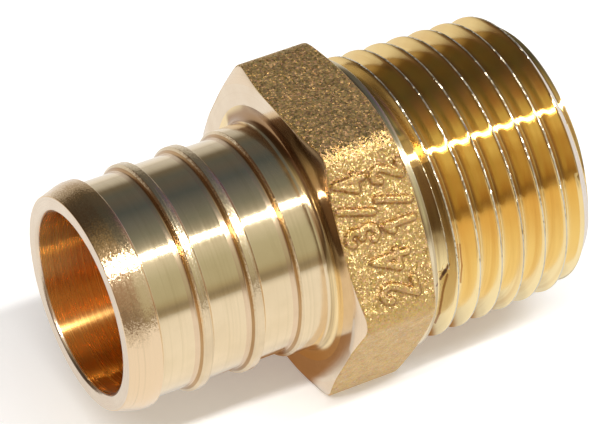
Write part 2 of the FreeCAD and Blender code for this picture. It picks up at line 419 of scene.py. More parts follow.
# How deep the cutter stood: degrees that it had turned since it bit in, and the radius it reached
CUTTER_DEPTHS = [
    (-400, NECK_RADIUS), (-190, NECK_RADIUS), (-170, DWELL_RADIUS), (-64, DWELL_RADIUS),
    (-57, NECK_RADIUS), (0, NECK_RADIUS), (2.5, BITE_RADIUS), (5, 0),
]
ENTRY_SLANT = 15.0
ENTRY_REACH = 30
NECK_SLOPE = 0.42
NECK_SLOPE_AT = 23.6
SLOPE_REACH = 0.3
SLOPE_FROM_TURN = -59
SLOPE_TO_TURN = 2.5


def groove_floor(turned, along):
    """Lowest radius that the cutter reached, by the degrees it had turned since it bit in."""
    turns, depths = zip(*CUTTER_DEPTHS)
    slanted = turned + ENTRY_SLANT * (along - GROOVE_AT) * (np.abs(turned) < ENTRY_REACH)
    sloping = (turned > SLOPE_FROM_TURN) * (slanted < SLOPE_TO_TURN)
    slope = NECK_SLOPE * np.clip(along - NECK_SLOPE_AT, -1, SLOPE_REACH) * sloping
    return np.interp(slanted, turns, depths) + slope


print("the cutter dwelt", round(NECK_RADIUS - DWELL_RADIUS, 2), "mm below the neck")

# %% Radius of the threaded end
NECK_END = 23.3
NECK_RISE_END = 23.8


def blank_radius(along):
    """Radius before the groove was cut: the sloping neck, its rise, and then the cone."""
    neck = np.interp(along, [NECK_END, NECK_RISE_END], [NECK_RADIUS, crest_radius(NECK_RISE_END)])
    neck = neck + NECK_SLOPE * np.clip(along - NECK_SLOPE_AT, -1, 0) * (along < NECK_END)
    return np.where(along < NECK_RISE_END, neck, crest_radius(along))


def thread_radius(along, col):
    """Radius of the threaded end at a length and a ring column, before the end chamfer."""
    winds = (along - GROOVE_AT) / PITCH - col / RING_POINTS
    nearest_turn = np.round(winds)
    from_groove = np.abs(winds - nearest_turn) * PITCH
    crest = crest_radius(along)
    root = crest - GROOVE_DEPTH
    flank = root + np.maximum(from_groove - ROOT_FLAT / 2, 0) / math.tan(FLANK_ANGLE)
    cut = soft_min(flank, crest, CREST_SOFTNESS)
    cut = np.maximum(cut, groove_floor((nearest_turn + col / RING_POINTS) * 360, along))
    return np.minimum(cut, blank_radius(along))


first_root = thread_radius(np.array([GROOVE_AT + PITCH]), 0)
print("radius at the root, one turn on,", round(float(first_root[0]), 2), "mm")

# %% [markdown]
# ## Rows that climb with the groove
# Rings that stay at one length would cut across the sharp crest and leave it ragged. So each row of
# points here climbs with the groove like a spiral stair, one pitch a turn: the last column of a row
# meets the row one pitch further on. The rows stand closest where the section bends most. Rows that
# would run past either end are held at it, and their doubled points are merged later.

# %% Places of the rows
# Across one pitch, in millimetres from the middle of the groove: root, flank, soft crest, flank
ROW_OFFSETS = np.array([
    -0.035, 0.035, 0.25, 0.46, 0.51, 0.72, 0.81, 0.85, 0.907, 0.964, 1.004, 1.094, 1.45,
])
CREST_OFFSETS = (0.85, 0.907)
ROWS_A_TURN = len(ROW_OFFSETS)
TURNS_BEFORE = 2

turns_up = math.ceil((LENGTH - GROOVE_AT) / PITCH) + 1
offsets = np.concatenate([ROW_OFFSETS + PITCH * wind for wind in range(-TURNS_BEFORE, turns_up)])
row_along = GROOVE_AT + offsets[:, None] + PITCH * column[None, :] / RING_POINTS
keep_from = int(np.argmax(GROOVE_AT + offsets >= THREAD_ROWS_START)) - ROWS_A_TURN - 1
keep_to = int(np.argmax(GROOVE_AT + offsets >= LENGTH)) + 1
row_along = np.clip(row_along[keep_from:keep_to], THREAD_ROWS_START, LENGTH)
print("thread rows", len(row_along), "of which", ROWS_A_TURN, "a turn")

# %% [markdown]
# ## End chamfer of the thread
# The open end has a chamfer, so that the thread starts easily. It cuts across the climbing rows, and a
# crease between two rows would look like a saw. So the nearest row is slid onto the crease first.
# After that every point keeps the smaller of its two radii, the thread's or the chamfer's.

# %% Slide rows onto the crease
def move_rows_to_crease(along, out):
    """Slide the nearest row onto the line where the thread meets the end chamfer."""
    gap = out - chamfer_radius(along)
    for row in range(len(along) - 1):
        crossing = (gap[row] * gap[row + 1] < 0) & (along[row + 1] > along[row])
        share = gap[row] / np.where(crossing, gap[row] - gap[row + 1], 1)
        place = along[row] + (along[row + 1] - along[row]) * share
        for near, chosen in ((row, crossing & (share < 0.5)), (row + 1, crossing & (share >= 0.5))):
            along[near] = np.where(chosen, place, along[near])
    return along


row_along = move_rows_to_crease(row_along, thread_radius(row_along, column[None, :]))
print("rows that reach the end chamfer", int((row_along > LENGTH - END_CHAMFER).any(axis=1).sum()))

# %% Rings of the thread
row_out = np.minimum(thread_radius(row_along, column[None, :]), chamfer_radius(row_along))
first_thread_ring = len(rings)
for number, (along, out) in enumerate(zip(row_along, row_out)):
    on_crest = ROW_OFFSETS[(keep_from + number) % ROWS_A_TURN] in CREST_OFFSETS
    add_ring(along, out, "crest" if on_crest else "thread")
last_thread_ring = len(rings) - 1
# The band after the last row is already part of the end face
finishes[last_thread_ring] = "end_face"
print("smallest radius in the thread", round(float(row_out.min()), 2), "mm")

# %% [markdown]
# ## End face and bore
# The end face is a plain turned ring, and the bore runs straight through. The photograph hides this
# end, so it is finished plainly, with the same small chamfer as at the mouth. A hole could be cut by
# a boolean, but here the stack of rings simply turns inwards and comes back through the bore.

# %% Rings of the end face and bore
END_RING_RADIUS = 8.7
BORE_RINGS = 8

end_section = rounded([
    (LENGTH, END_RING_RADIUS, 0),
    (LENGTH, BORE_RADIUS + BORE_EDGE, 0),
    (LENGTH - BORE_EDGE, BORE_RADIUS, 0),
])
for along, out in end_section:
    add_ring(along, out, "end_face")
# The band after the small chamfer is already part of the bore
finishes[-1] = "bore"
for along in np.linspace(LENGTH - BORE_EDGE, BORE_EDGE, BORE_RINGS)[1:-1]:
    add_ring(along, BORE_RADIUS, "bore")
print("rings in all", len(rings))

# %% [markdown]
# ## One closed mesh
# The rings become points, and the bands between them become faces. The last band joins the bore to the
# spigot's mouth, so the skin is closed, with no hole. In the thread the seam steps up one pitch, as the
# rows do. Lists of points and faces are quick to write, and bmesh merges doubled points afterwards.

# %% Points of the rings
FINISH_ORDER = [
    "turned", "worn_edge", "rib_foot", "rib_land", "rib_approach", "fillet", "turned_face", "corner_cut",
    "cast", "figure_foot", "shoulder", "thread", "crest", "neck", "chamfer", "end_face", "bore",
]


def ring_points(along, out):
    """Points of a ring in metres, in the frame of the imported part."""
    x = (along - LENGTH / 2) * MM
    y = out * np.cos(angle) * MM
    z = (out * np.sin(angle) + AXIS_HEIGHT) * MM
    return np.stack([x, y, z], axis=1)


points = np.concatenate([ring_points(along, out) for along, out in rings])
print("points", len(points))

# %% Faces between the rings
def seam_partner(ring, inside_thread):
    """The ring that a ring's last point meets across the seam."""
    if not inside_thread:
        return ring
    return min(ring + ROWS_A_TURN, last_thread_ring)


faces = []
face_finish = []
for ring in range(len(rings)):
    following = (ring + 1) % len(rings)
    in_thread = first_thread_ring <= ring < last_thread_ring
    here = ring * RING_POINTS
    there = following * RING_POINTS
    for col in range(RING_POINTS - 1):
        faces.append((here + col, here + col + 1, there + col + 1, there + col))
    end_here = seam_partner(ring, in_thread) * RING_POINTS
    end_there = seam_partner(following, in_thread) * RING_POINTS
    faces.append((here + RING_POINTS - 1, end_here, end_there, there + RING_POINTS - 1))
    face_finish += [FINISH_ORDER.index(finishes[ring])] * RING_POINTS
print("faces before the doubled points are merged", len(faces))

# %% [markdown]
# ## Skin of the adapter
# bmesh is Blender's editable mesh. Building there lets the doubled points of the held rows be merged,
# and the faces be turned outwards, before the mesh is handed to the object. The count of open edges is
# a good habit: it has to be zero for a solid skin.

# %% Join the faces
MERGE_WITHIN = 0.0004

mesh = bpy.data.meshes.new("threaded_adapter")
adapter = bpy.data.objects.new("threaded_adapter", mesh)
bpy.context.scene.collection.objects.link(adapter)
work = bmesh.new()
corners = [work.verts.new(point) for point in points]
for face, finish in zip(faces, face_finish):
    ids = list(dict.fromkeys(face))
    if len(ids) > 2:
        work.faces.new([corners[number] for number in ids]).material_index = finish
bmesh.ops.remove_doubles(work, verts=work.verts, dist=MERGE_WITHIN * MM)
bmesh.ops.recalc_face_normals(work, faces=work.faces)
open_edges = sum(1 for edge in work.edges if len(edge.link_faces) != 2)
print("faces", len(work.faces), "open or doubled edges", open_edges)

# %% [markdown]
# ## Strokes of the figures
# The pattern maker cut the tube and thread sizes into the mould, so they stand up from one flat with
# soft, swollen edges. They could be a text object sunk into the flat, but then their feet would be
# sharp. Here each figure is a few pen strokes, and the flat swells wherever a stroke is near.

# %% Strokes of the figures
FIGURES = {
    "1": [[(0.12, 0.76), (0.36, 1.0), (0.36, 0.0)]],
    "2": [[(0.06, 0.78), (0.14, 0.94), (0.32, 1.0), (0.5, 0.93), (0.56, 0.74), (0.48, 0.56),
           (0.05, 0.0), (0.6, 0.0)]],
    "3": [[(0.06, 0.88), (0.2, 1.0), (0.42, 0.98), (0.55, 0.84), (0.52, 0.64), (0.36, 0.53), (0.24, 0.53)],
          [(0.36, 0.53), (0.56, 0.42), (0.6, 0.2), (0.46, 0.03), (0.2, 0.0), (0.04, 0.13)]],
    "4": [[(0.46, 0.0), (0.46, 1.0), (0.03, 0.3), (0.62, 0.3)]],
    "/": [[(0.04, -0.05), (0.46, 1.05)]],
}
FIGURE_ADVANCE = 0.84
FIGURE_NARROW = 0.80
# Each size: its figures, how tall they are, and where the first starts (along the axis, up the flat)
SIZES_ON_FLAT = [("3/4", 2.2, (18.65, -0.30)), ("1/2", 2.2, (21.55, -0.30)), ("24", 2.6, (20.45, -4.95))]


def pen_strokes(figures, tall, place):
    """Pen strokes on the flat: they read up the flat, and their tops point at the spigot."""
    strokes = []
    for number, figure in enumerate(figures):
        for line in FIGURES[figure]:
            strokes.append([
                (place[0] - up * tall, place[1] + (number * FIGURE_ADVANCE + across * FIGURE_NARROW) * tall)
                for across, up in line
            ])
    return strokes


strokes = [stroke for size in SIZES_ON_FLAT for stroke in pen_strokes(*size)]
print("pen strokes", len(strokes))

# %% [markdown]
# ## A finer flat for the figures
# The flat's faces are too large to carry a thin stroke. Subdividing the whole part would waste faces,
# so only the faces of this one flat are divided, each into nine. They are found by asking which cast
# faces lie on the plane of the flat.

# %% Divide one flat
FIGURE_FLAT_ANGLE = math.radians(150)
FIGURE_FLAT_HALF = 5.3
FACE_WITHIN = 0.05
FACES_STRAIGHT_OUT = 0.99

flat_out = Vector((0, math.cos(FIGURE_FLAT_ANGLE), math.sin(FIGURE_FLAT_ANGLE)))
flat_up = Vector((0, math.sin(FIGURE_FLAT_ANGLE), -math.cos(FIGURE_FLAT_ANGLE)))
axis_point = Vector((0, 0, AXIS_HEIGHT * MM))


def is_cast(face):
    """Whether a face has the cast skin."""
    return FINISH_ORDER[face.material_index] == "cast"


def on_figure_flat(face):
    """Whether a cast face lies on the flat that carries the figures."""
    middle = face.calc_center_median() - axis_point
    high_enough = middle.dot(flat_out) > (FLAT - FACE_WITHIN) * MM
    near_enough = abs(middle.dot(flat_up)) < FIGURE_FLAT_HALF * MM
    return is_cast(face) and high_enough and near_enough and face.normal.dot(flat_out) > FACES_STRAIGHT_OUT


flat_faces = [face for face in work.faces if on_figure_flat(face)]
flat_edges = list({edge for face in flat_faces for edge in face.edges})
bmesh.ops.subdivide_edges(work, edges=flat_edges, cuts=2, use_grid_fill=True)
print("faces of the flat before it was divided", len(flat_faces))

# %% [markdown]
# ## Raised figures
# Every point of the fine flat rises by its distance from the nearest stroke: fully near its middle,
# not at all further out, and on a smooth slope in between. That gives the swollen edges of a casting.
# The feet of the slopes get a darker finish of their own, a painted shade where the figures meet the flat.

# %% Distance to the strokes
POINT_WITHIN = 0.002
FAR = 1000.0


def distance_to_strokes(spots, strokes):
    """How far each spot on the flat is from the nearest pen stroke."""
    nearest = np.full(len(spots), FAR)
    for line in strokes:
        for one, two in zip(line[:-1], line[1:]):
            start = np.array(one)
            run = np.array(two) - start
            share = np.clip(((spots - start) @ run) / (run @ run), 0, 1)
            nearest = np.minimum(nearest, np.linalg.norm(spots - start - share[:, None] * run, axis=1))
    return nearest


def on_flat_plane(vert):
    """Whether a point lies on the plane of the flat, with only cast faces round it."""
    height = (vert.co - axis_point).dot(flat_out)
    return abs(height - FLAT * MM) < POINT_WITHIN * MM and all(is_cast(face) for face in vert.link_faces)


flat_points = [vert for vert in work.verts if on_flat_plane(vert)]
spots = np.array([
    (vert.co.x / MM + LENGTH / 2, (vert.co - axis_point).dot(flat_up) / MM) for vert in flat_points
])
from_stroke = distance_to_strokes(spots, strokes)
print("points of the fine flat", len(flat_points))

# %% Raise the figures
STROKE_HALF_WIDTH = 0.40
STROKE_SLOPE = 0.30
FIGURE_HEIGHT = 0.27
FOOT_FROM = 0.01
FOOT_TO = 0.5

rise = np.clip((STROKE_HALF_WIDTH - from_stroke) / STROKE_SLOPE, 0, 1)
rise = rise * rise * (3 - 2 * rise) * FIGURE_HEIGHT
on_slope = set()
for vert, up in zip(flat_points, rise):
    vert.co += flat_out * (float(up) * MM)
    if FOOT_FROM * FIGURE_HEIGHT < up < FOOT_TO * FIGURE_HEIGHT:
        on_slope.add(vert)
for face in {face for vert in on_slope for face in vert.link_faces}:
    if sum(vert in on_slope for vert in face.verts) > 1:
        face.material_index = FINISH_ORDER.index("figure_foot")
work.to_mesh(mesh)
work.free()
print("highest rise", round(float(rise.max()), 3), "mm, triangles",
      sum(len(face.vertices) - 2 for face in mesh.polygons))

# %% [markdown]
# ## Shading of flat faces beside small roundings
# Smooth shading makes the rings look round, but it also bends the light on large flat faces towards
# every narrow band beside them. Weighted normals let the large faces win, so they look flat and only
# the small bands look round. A modifier does this, and moves no point.

# %% Smooth shading with weighted normals
NORMAL_WEIGHT = 60

mesh.shade_smooth()
weighted = adapter.modifiers.new("weighted_normals", "WEIGHTED_NORMAL")
weighted.mode = "FACE_AREA"
weighted.weight = NORMAL_WEIGHT
weighted.keep_sharp = True
print("modifiers", [item.name for item in adapter.modifiers])

# %% [markdown]
# ## Nodes
# A material is a tree of nodes, each fed by values or by other nodes. Writing every link by hand hides
# what a finish is made of. With one small helper a node and all that feeds it stand together, and a
# mix of two tones or a smooth fade becomes one plain word in the recipes below.

# %% Helpers for node trees
def feed(tree, source, socket):
    """Link a socket to another node's output, or give it a plain value or colour."""
    if isinstance(source, bpy.types.NodeSocket):
        tree.links.new(source, socket)
    elif socket.type == "RGBA":
        socket.default_value = (*source, 1)
    else:
        socket.default_value = source


def add_node(tree, kind, inputs=None, **settings):
    """Add a node with its settings, and feed its inputs, which are given by name or number."""
    node = tree.nodes.new(kind)
    for name, value in settings.items():
        setattr(node, name, value)
    for name, source in (inputs or {}).items():
        feed(tree, source, node.inputs[name])
    return node


def mix_tones(tree, amount, under, over):
    """Lay one tone over another by an amount or a pattern."""
    mix = add_node(tree, "ShaderNodeMix", {"Factor": amount, "A": under, "B": over}, data_type="RGBA")
    return mix.outputs["Result"]


def fade(tree, value, start, end):
    """Smooth step from 0 where a value is at start to 1 where it is at end."""
    limits = {"Value": value, "From Min": start, "From Max": end}
    return add_node(tree, "ShaderNodeMapRange", limits, interpolation_type="SMOOTHSTEP").outputs["Result"]


print("helpers for node trees: feed, add_node, mix_tones, fade")

# %% [markdown]
# ## Where a mark lies on the part
# Marks on metal have real sizes, so the patterns are laid out in millimetres from the part's own axis
# and don't slide when the part moves. Stretching the space makes rings out of round spots: the lathe's
# marks run round the axis. On a face across the axis they are rings too, so there only the distance
# from the axis counts.

# %% Millimetres of the part
def part_millimetres(tree, stretch=(1, 1, 1)):
    """The part's own coordinates in millimetres from the axis, stretched along X, Y and Z."""
    own = add_node(tree, "ShaderNodeTexCoord")
    scaled = add_node(tree, "ShaderNodeMapping", {
        "Vector": own.outputs["Object"],
        "Scale": [value / MM for value in stretch],
        "Location": (0, 0, -AXIS_HEIGHT * stretch[2]),
    })
    return scaled.outputs["Vector"]


def distance_from_axis(tree):
    """Distance from the axis, as a vector that changes only with the radius."""
    across_axis = part_millimetres(tree, (0, 1, 1))
    distance = add_node(tree, "ShaderNodeVectorMath", {0: across_axis}, operation="LENGTH")
    return add_node(tree, "ShaderNodeCombineXYZ", {"X": distance.outputs["Value"]}).outputs["Vector"]


print("patterns start from an axis", round(AXIS_HEIGHT, 2), "mm above the floor")

# %% [markdown]
# ## Patterns in the brass
# Noise gives soft clouds, and its contrast is pulled up because raw noise stays near grey. A Voronoi
# texture gives cells with sharp borders and one random colour each, which suits grains and dents. The
# same pattern can then drive a colour, a roughness or a relief.

# %% Clouds and grains
CLOUD_CONTRAST = (0.3, 0.7)


def clouds(tree, space, scale, detail, contrast=CLOUD_CONTRAST):
    """Noise from 0 to 1 with its contrast pulled up."""
    noise = add_node(tree, "ShaderNodeTexNoise", {"Scale": scale, "Detail": detail, "Vector": space})
    limits = {"From Min": contrast[0], "From Max": contrast[1], "Value": noise.outputs["Fac"]}
    return add_node(tree, "ShaderNodeMapRange", limits).outputs["Result"]


def grains(tree, space, scale):
    """Cells of random size and colour, for grains and small dents."""
    return add_node(tree, "ShaderNodeTexVoronoi", {"Scale": scale, "Vector": space})


def let_drift(tree, pattern, start, end, socket):
    """Let a value of the shader follow a pattern between two limits."""
    limits = {"To Min": start, "To Max": end, "Value": pattern}
    feed(tree, add_node(tree, "ShaderNodeMapRange", limits).outputs["Result"], socket)


print("clouds use the noise between", CLOUD_CONTRAST[0], "and", CLOUD_CONTRAST[1])

# %% [markdown]
# ## Relief and glint
# Turning marks are far finer than any mesh, so a bump node tilts the light for them. Their fine rings
# also spread every highlight along the axis, which anisotropy does from a tangent that runs round it.
# Dents and grains need more: each cell tilts the surface its own way, and so it glitters on its own.

# %% Relief, tilted grains and the lathe's glint
CELL_MIDDLE = (0.5, 0.5, 0.5)
QUARTER_TURN = 0.25


def relief(tree, height, depth):
    """Bump whose full height is depth in millimetres."""
    return add_node(tree, "ShaderNodeBump", {"Distance": depth * MM, "Height": height}).outputs["Normal"]


def tilt_grains(tree, cells, normal, amount):
    """Give every grain its own small tilt, from the random colour of its cell."""
    lean = add_node(tree, "ShaderNodeVectorMath", {0: cells.outputs["Color"], 1: CELL_MIDDLE},
                    operation="SUBTRACT")
    lean = add_node(tree, "ShaderNodeVectorMath", {0: lean.outputs["Vector"], "Scale": amount},
                    operation="SCALE")
    tilted = add_node(tree, "ShaderNodeVectorMath", {0: normal, 1: lean.outputs["Vector"]}, operation="ADD")
    tilted = add_node(tree, "ShaderNodeVectorMath", {0: tilted.outputs["Vector"]}, operation="NORMALIZE")
    return tilted.outputs["Vector"]


def spread_glint(tree, shader, amount):
    """Spread highlights along the axis, as fine rings round it do."""
    round_axis = add_node(tree, "ShaderNodeTangent", direction_type="RADIAL", axis="X")
    feed(tree, round_axis.outputs["Tangent"], shader.inputs["Tangent"])
    shader.inputs["Anisotropic"].default_value = amount
    shader.inputs["Anisotropic Rotation"].default_value = QUARTER_TURN


print("helpers for relief: relief, tilt_grains, spread_glint")

# %% [markdown]
# ## Turned brass
# All finishes are the same metal, so they share one recipe: full metallic, a colour with faint clouds
# and darker rings, a roughness that drifts a little, and fine ring marks. What differs is the tool
# that left the surface, so each finish only brings its own colours and strengths. Where the brass
# mirrors something paler lower down, a painted reflection fades the colour to a paler one with height.

# %% Bare brass and its fade with height
def bare_brass(name):
    """A new metallic material, and its shader."""
    material = bpy.data.materials.new(name)
    material.use_nodes = True
    shader = material.node_tree.nodes["Principled BSDF"]
    shader.inputs["Metallic"].default_value = 1.0
    return material, shader


def painted_reflection_below(tree, colour, pale, fades_from, fades_to):
    """Painted reflection: blend a colour to a paler one between two heights above the axis, in millimetres.
    """
    place = add_node(tree, "ShaderNodeSeparateXYZ", {"Vector": part_millimetres(tree)})
    return mix_tones(tree, fade(tree, place.outputs["Z"], fades_from, fades_to), colour, pale)


print("helpers for brass: bare_brass, painted_reflection_below")

# %% Recipe of a turned finish
CLOUD_SCALE = 0.45
MARK_SCALE = 7.0
STREAK_SCALE = 4.5
DETAIL = 3.0
ROUND_THE_AXIS = (1, 0.012, 0.012)


def turned_finish(name, light, dark, roughness, marks, glint=0.5, radial=False, dents=0.0,
                  dent_scale=14.0, streaks=(0.5, 0.9), pale=None):
    """Brass as a lathe tool leaves it: fine rings, faint clouds and, where it is worn, small dents."""
    material, shader = bare_brass(name)
    tree = material.node_tree
    space = part_millimetres(tree)
    ring_space = distance_from_axis(tree) if radial else part_millimetres(tree, ROUND_THE_AXIS)
    halfway = tuple(0.5 * one + 0.5 * two for one, two in zip(light, dark))
    colour = mix_tones(tree, clouds(tree, space, CLOUD_SCALE, DETAIL), light, halfway)
    # Painted reflection of the floor: the colour grows paler lower down
    if pale is not None:
        colour = painted_reflection_below(tree, colour, *pale)
    colour = mix_tones(tree, clouds(tree, ring_space, STREAK_SCALE, DETAIL, streaks), colour, dark)
    feed(tree, colour, shader.inputs["Base Color"])
    ring_marks = clouds(tree, ring_space, MARK_SCALE, DETAIL)
    let_drift(tree, ring_marks, *roughness, shader.inputs["Roughness"])
    normal = relief(tree, ring_marks, marks)
    if dents:
        normal = tilt_grains(tree, grains(tree, space, dent_scale), normal, dents)
    feed(tree, normal, shader.inputs["Normal"])
    spread_glint(tree, shader, glint)
    return material


finish_materials = {}
print("ring marks, about", MARK_SCALE, "to the millimetre")

# %% [markdown]
# ## Finishes of the spigot
# The seat of the tube and the lands are bright from the lathe. The nose is worn and warmer, and full
# of tiny dents, and its colour is a painted reflection, darker on top and paler below. The foot of each
# rib is brown, a painted shade, and the fillet is brown as a painted reflection, because a narrow
# corner mirrors mostly itself. An image could paint all this, but bands of the mesh stay sharp at any
# distance.

# %% Brass of the spigot
PALE_BRASS = (0.87, 0.70, 0.46)
DULL_BRASS = (0.74, 0.58, 0.36)

finish_materials["turned"] = turned_finish(
    "spigot_turned_brass", PALE_BRASS, DULL_BRASS, roughness=(0.10, 0.15), marks=0.0003, glint=0.6)
# The nose: real wear and dents, and a painted reflection, darker on top and paler below
finish_materials["worn_edge"] = turned_finish(
    "nose_worn_brass_and_painted_reflection", (0.64, 0.42, 0.21), (0.55, 0.39, 0.22), roughness=(0.13, 0.22), marks=0.0004,
    glint=0.3, dents=0.13, streaks=(0.56, 1.2), pale=((0.87, 0.66, 0.43), 8.5, 5.6))
# Painted shade: the brown line at the foot of each rib
finish_materials["rib_foot"] = turned_finish(
    "rib_foot_brass", (0.56, 0.35, 0.16), (0.34, 0.19, 0.08), roughness=(0.16, 0.26), marks=0.0006,
    glint=0.3)
finish_materials["rib_land"] = turned_finish(
    "rib_land_brass", (0.84, 0.67, 0.44), (0.60, 0.46, 0.29), roughness=(0.16, 0.28), marks=0.0006,
    glint=0.3, dents=0.13)
finish_materials["rib_approach"] = turned_finish(
    "rib_approach_brass", (0.82, 0.62, 0.42), (0.66, 0.48, 0.30), roughness=(0.16, 0.24), marks=0.0006,
    glint=0.4)
# Painted reflection: the fillet is brown where it mirrors the collar, and paler below
finish_materials["fillet"] = turned_finish(
    "collar_fillet_brass", (0.34, 0.20, 0.10), (0.22, 0.13, 0.06), roughness=(0.14, 0.22), marks=0.0008,
    glint=0.3, pale=((0.96, 0.74, 0.40), 9.0, 7.6))
print("finishes of the spigot", sorted(finish_materials))

# %% [markdown]
# ## Finishes of the turned faces and the shoulder
# A face across the axis has its rings on a flat, so there the recipe is told to measure from the
# axis. The cut corners are a little duller than the face beside them, and the shoulder shows coarser
# marks of the tool. The end faces also have a few small dents, from lying loose in a box.

# %% Brass of the faces and the shoulder
finish_materials["turned_face"] = turned_finish(
    "hexagon_face_brass", (0.88, 0.73, 0.55), (0.74, 0.56, 0.37), roughness=(0.07, 0.12), marks=0.0012,
    radial=True, streaks=(0.55, 0.95))
finish_materials["corner_cut"] = turned_finish(
    "corner_cut_brass", (0.88, 0.70, 0.50), (0.76, 0.58, 0.40), roughness=(0.16, 0.26), marks=0.0012,
    radial=True)
finish_materials["shoulder"] = turned_finish(
    "shoulder_brass", (0.88, 0.74, 0.49), (0.60, 0.48, 0.30), roughness=(0.14, 0.24), marks=0.002,
    streaks=(0.45, 0.65))
finish_materials["end_face"] = turned_finish(
    "end_face_brass", (0.87, 0.73, 0.57), (0.76, 0.60, 0.44), roughness=(0.2, 0.3), marks=0.001,
    radial=True, dents=0.06)
print("finishes so far", len(finish_materials))

# %% [markdown]
# ## Finishes of the thread and the bore
# Light bounces to and fro in the groove, which makes its yellow deeper. So the flanks get a deeper
# brass than the spigot, and a painted reflection of the floor makes them paler towards it. The crests
# are duller, with broad dents from handling. The neck is a darker brown, paler towards the floor as a
# painted reflection, and the end chamfer is the palest. The bore is the deepest of all, since it
# mirrors only itself.

# %% Brass of the thread and the bore
DEEP_BRASS = (0.905, 0.672, 0.29)

# Painted reflection of the floor: the flanks grow paler lower down
finish_materials["thread"] = turned_finish(
    "thread_flank_brass", DEEP_BRASS, (0.78, 0.50, 0.18), roughness=(0.10, 0.125), marks=0.0001,
    glint=1.0, streaks=(0.48, 0.95), pale=((0.95, 0.77, 0.42), 4.5, -2.0))
finish_materials["crest"] = turned_finish(
    "thread_crest_brass", (0.80, 0.73, 0.56), (0.42, 0.33, 0.22), roughness=(0.18, 0.40), marks=0.002,
    glint=0.3, dents=0.75, dent_scale=4.5)
# The neck: a darker brown, with a painted reflection of the floor that makes it paler below
finish_materials["neck"] = turned_finish(
    "neck_brass", (0.36, 0.235, 0.09), (0.26, 0.15, 0.055), roughness=(0.15, 0.22), marks=0.0004,
    glint=0.8, pale=((0.93, 0.74, 0.38), 4.2, 0.4))
finish_materials["chamfer"] = turned_finish(
    "end_chamfer_brass", (0.84, 0.74, 0.64), (0.70, 0.59, 0.50), roughness=(0.2, 0.3), marks=0.001)
finish_materials["bore"] = turned_finish(
    "bore_brass", (0.95, 0.56, 0.18), (0.84, 0.44, 0.12), roughness=(0.24, 0.30), marks=0.0002,
    glint=1.0)
print("turned finishes", len(finish_materials))

# %% [markdown]
# ## Cast skin
# The sand of the mould printed itself into the flats. Each grain tilts the metal its own way, so the
# skin is dull from afar and glitters close up. A bump made from noise alone looks soft, like orange
# peel. So cells of two sizes tilt the surface, over a gentle swell, and flecks of the finer cells
# colour it.

# %% Brass of the cast flats
COARSE_GRAINS = 7.0
FINE_GRAINS = 13.0
COARSE_TILT = 0.5
FINE_TILT = 0.55
STAIN_SCALE = 1.4
SWELL_SCALE = 2.2
SWELL_DETAIL = 2.0
SWELL_DEPTH = 0.018
CAST_ROUGHNESS = (0.27, 0.60)


def cast_finish(name, light, dark, flecking):
    """Brass as a sand mould leaves it."""
    material, shader = bare_brass(name)
    tree = material.node_tree
    space = part_millimetres(tree)
    coarse = grains(tree, space, COARSE_GRAINS)
    fine = grains(tree, space, FINE_GRAINS)
    stained = mix_tones(tree, clouds(tree, space, STAIN_SCALE, DETAIL), light, dark)
    flecked = mix_tones(tree, flecking, stained, fine.outputs["Color"])
    feed(tree, flecked, shader.inputs["Base Color"])
    chance = add_node(tree, "ShaderNodeSeparateColor", {"Color": coarse.outputs["Color"]})
    let_drift(tree, chance.outputs["Red"], *CAST_ROUGHNESS, shader.inputs["Roughness"])
    normal = relief(tree, clouds(tree, space, SWELL_SCALE, SWELL_DETAIL), SWELL_DEPTH)
    normal = tilt_grains(tree, coarse, normal, COARSE_TILT)
    feed(tree, tilt_grains(tree, fine, normal, FINE_TILT), shader.inputs["Normal"])
    return material


finish_materials["cast"] = cast_finish(
    "hexagon_cast_brass", (0.75, 0.485, 0.15), (0.60, 0.36, 0.10), flecking=0.13)
# Painted shade at the feet of the figures
finish_materials["figure_foot"] = cast_finish(
    "figure_foot_brass", (0.50, 0.29, 0.07), (0.38, 0.20, 0.04), flecking=0.10)
print("cast grains,", COARSE_GRAINS, "and", FINE_GRAINS, "to the millimetre")

# %% [markdown]
# ## Finishes onto the mesh
# Each face already holds the number of its finish, from the band that it belongs to. So the materials
# only have to be added to the mesh in the same order. Separate objects for each finish would be
# another way, but the real part is one piece, and so is its mesh.

# %% Put the finishes on the adapter
for finish in FINISH_ORDER:
    mesh.materials.append(finish_materials[finish])
print("finishes on the adapter", len(mesh.materials))

# %% [markdown]
# ## Small places beside the thread
# Some places in the threaded end differ from the row that they are in. The end chamfer is a paler
# brass. In the neck, just before the cutter bit in, the faces get the darker brown neck finish, and a
# thin line of the crest's paler brass runs through it. Cutting the mesh along their borders would be
# slow work. So each face is asked where it lies, and gets the finish of that place.

# %% Finish of the neck and the chamfer
NECK_LINE_AT = 0.485
NECK_LINE_HALF = 0.035
NECK_BROWN_FROM = 314
NECK_BROWN_PAST_LINE = 0.37
CHAMFER_WITHIN = 0.02


def finish_by_place(face):
    """Finish of a face in the thread, by its length, radius and degrees from the seam."""
    across, up = face.center.y, face.center.z - AXIS_HEIGHT * MM
    along = face.center.x / MM + LENGTH / 2
    out = math.hypot(across, up) / MM
    turned = (math.degrees(math.atan2(up, across)) - START_ANGLE) % 360
    line_at = GROOVE_AT + PITCH * (turned / 360 - 1) + NECK_LINE_AT
    if along > LENGTH - END_CHAMFER and abs(out - chamfer_radius(along)) < CHAMFER_WITHIN:
        return "chamfer"
    if turned > NECK_BROWN_FROM and abs(along - line_at) < NECK_LINE_HALF:
        return "crest"
    if turned > NECK_BROWN_FROM and along < line_at + NECK_BROWN_PAST_LINE:
        return "neck"
    return FINISH_ORDER[face.material_index]


for face in mesh.polygons:
    if FINISH_ORDER[face.material_index] in ("thread", "crest"):
        face.material_index = FINISH_ORDER.index(finish_by_place(face))
for finish in ("chamfer", "neck"):
    print(finish, "faces", sum(FINISH_ORDER[face.material_index] == finish for face in mesh.polygons))

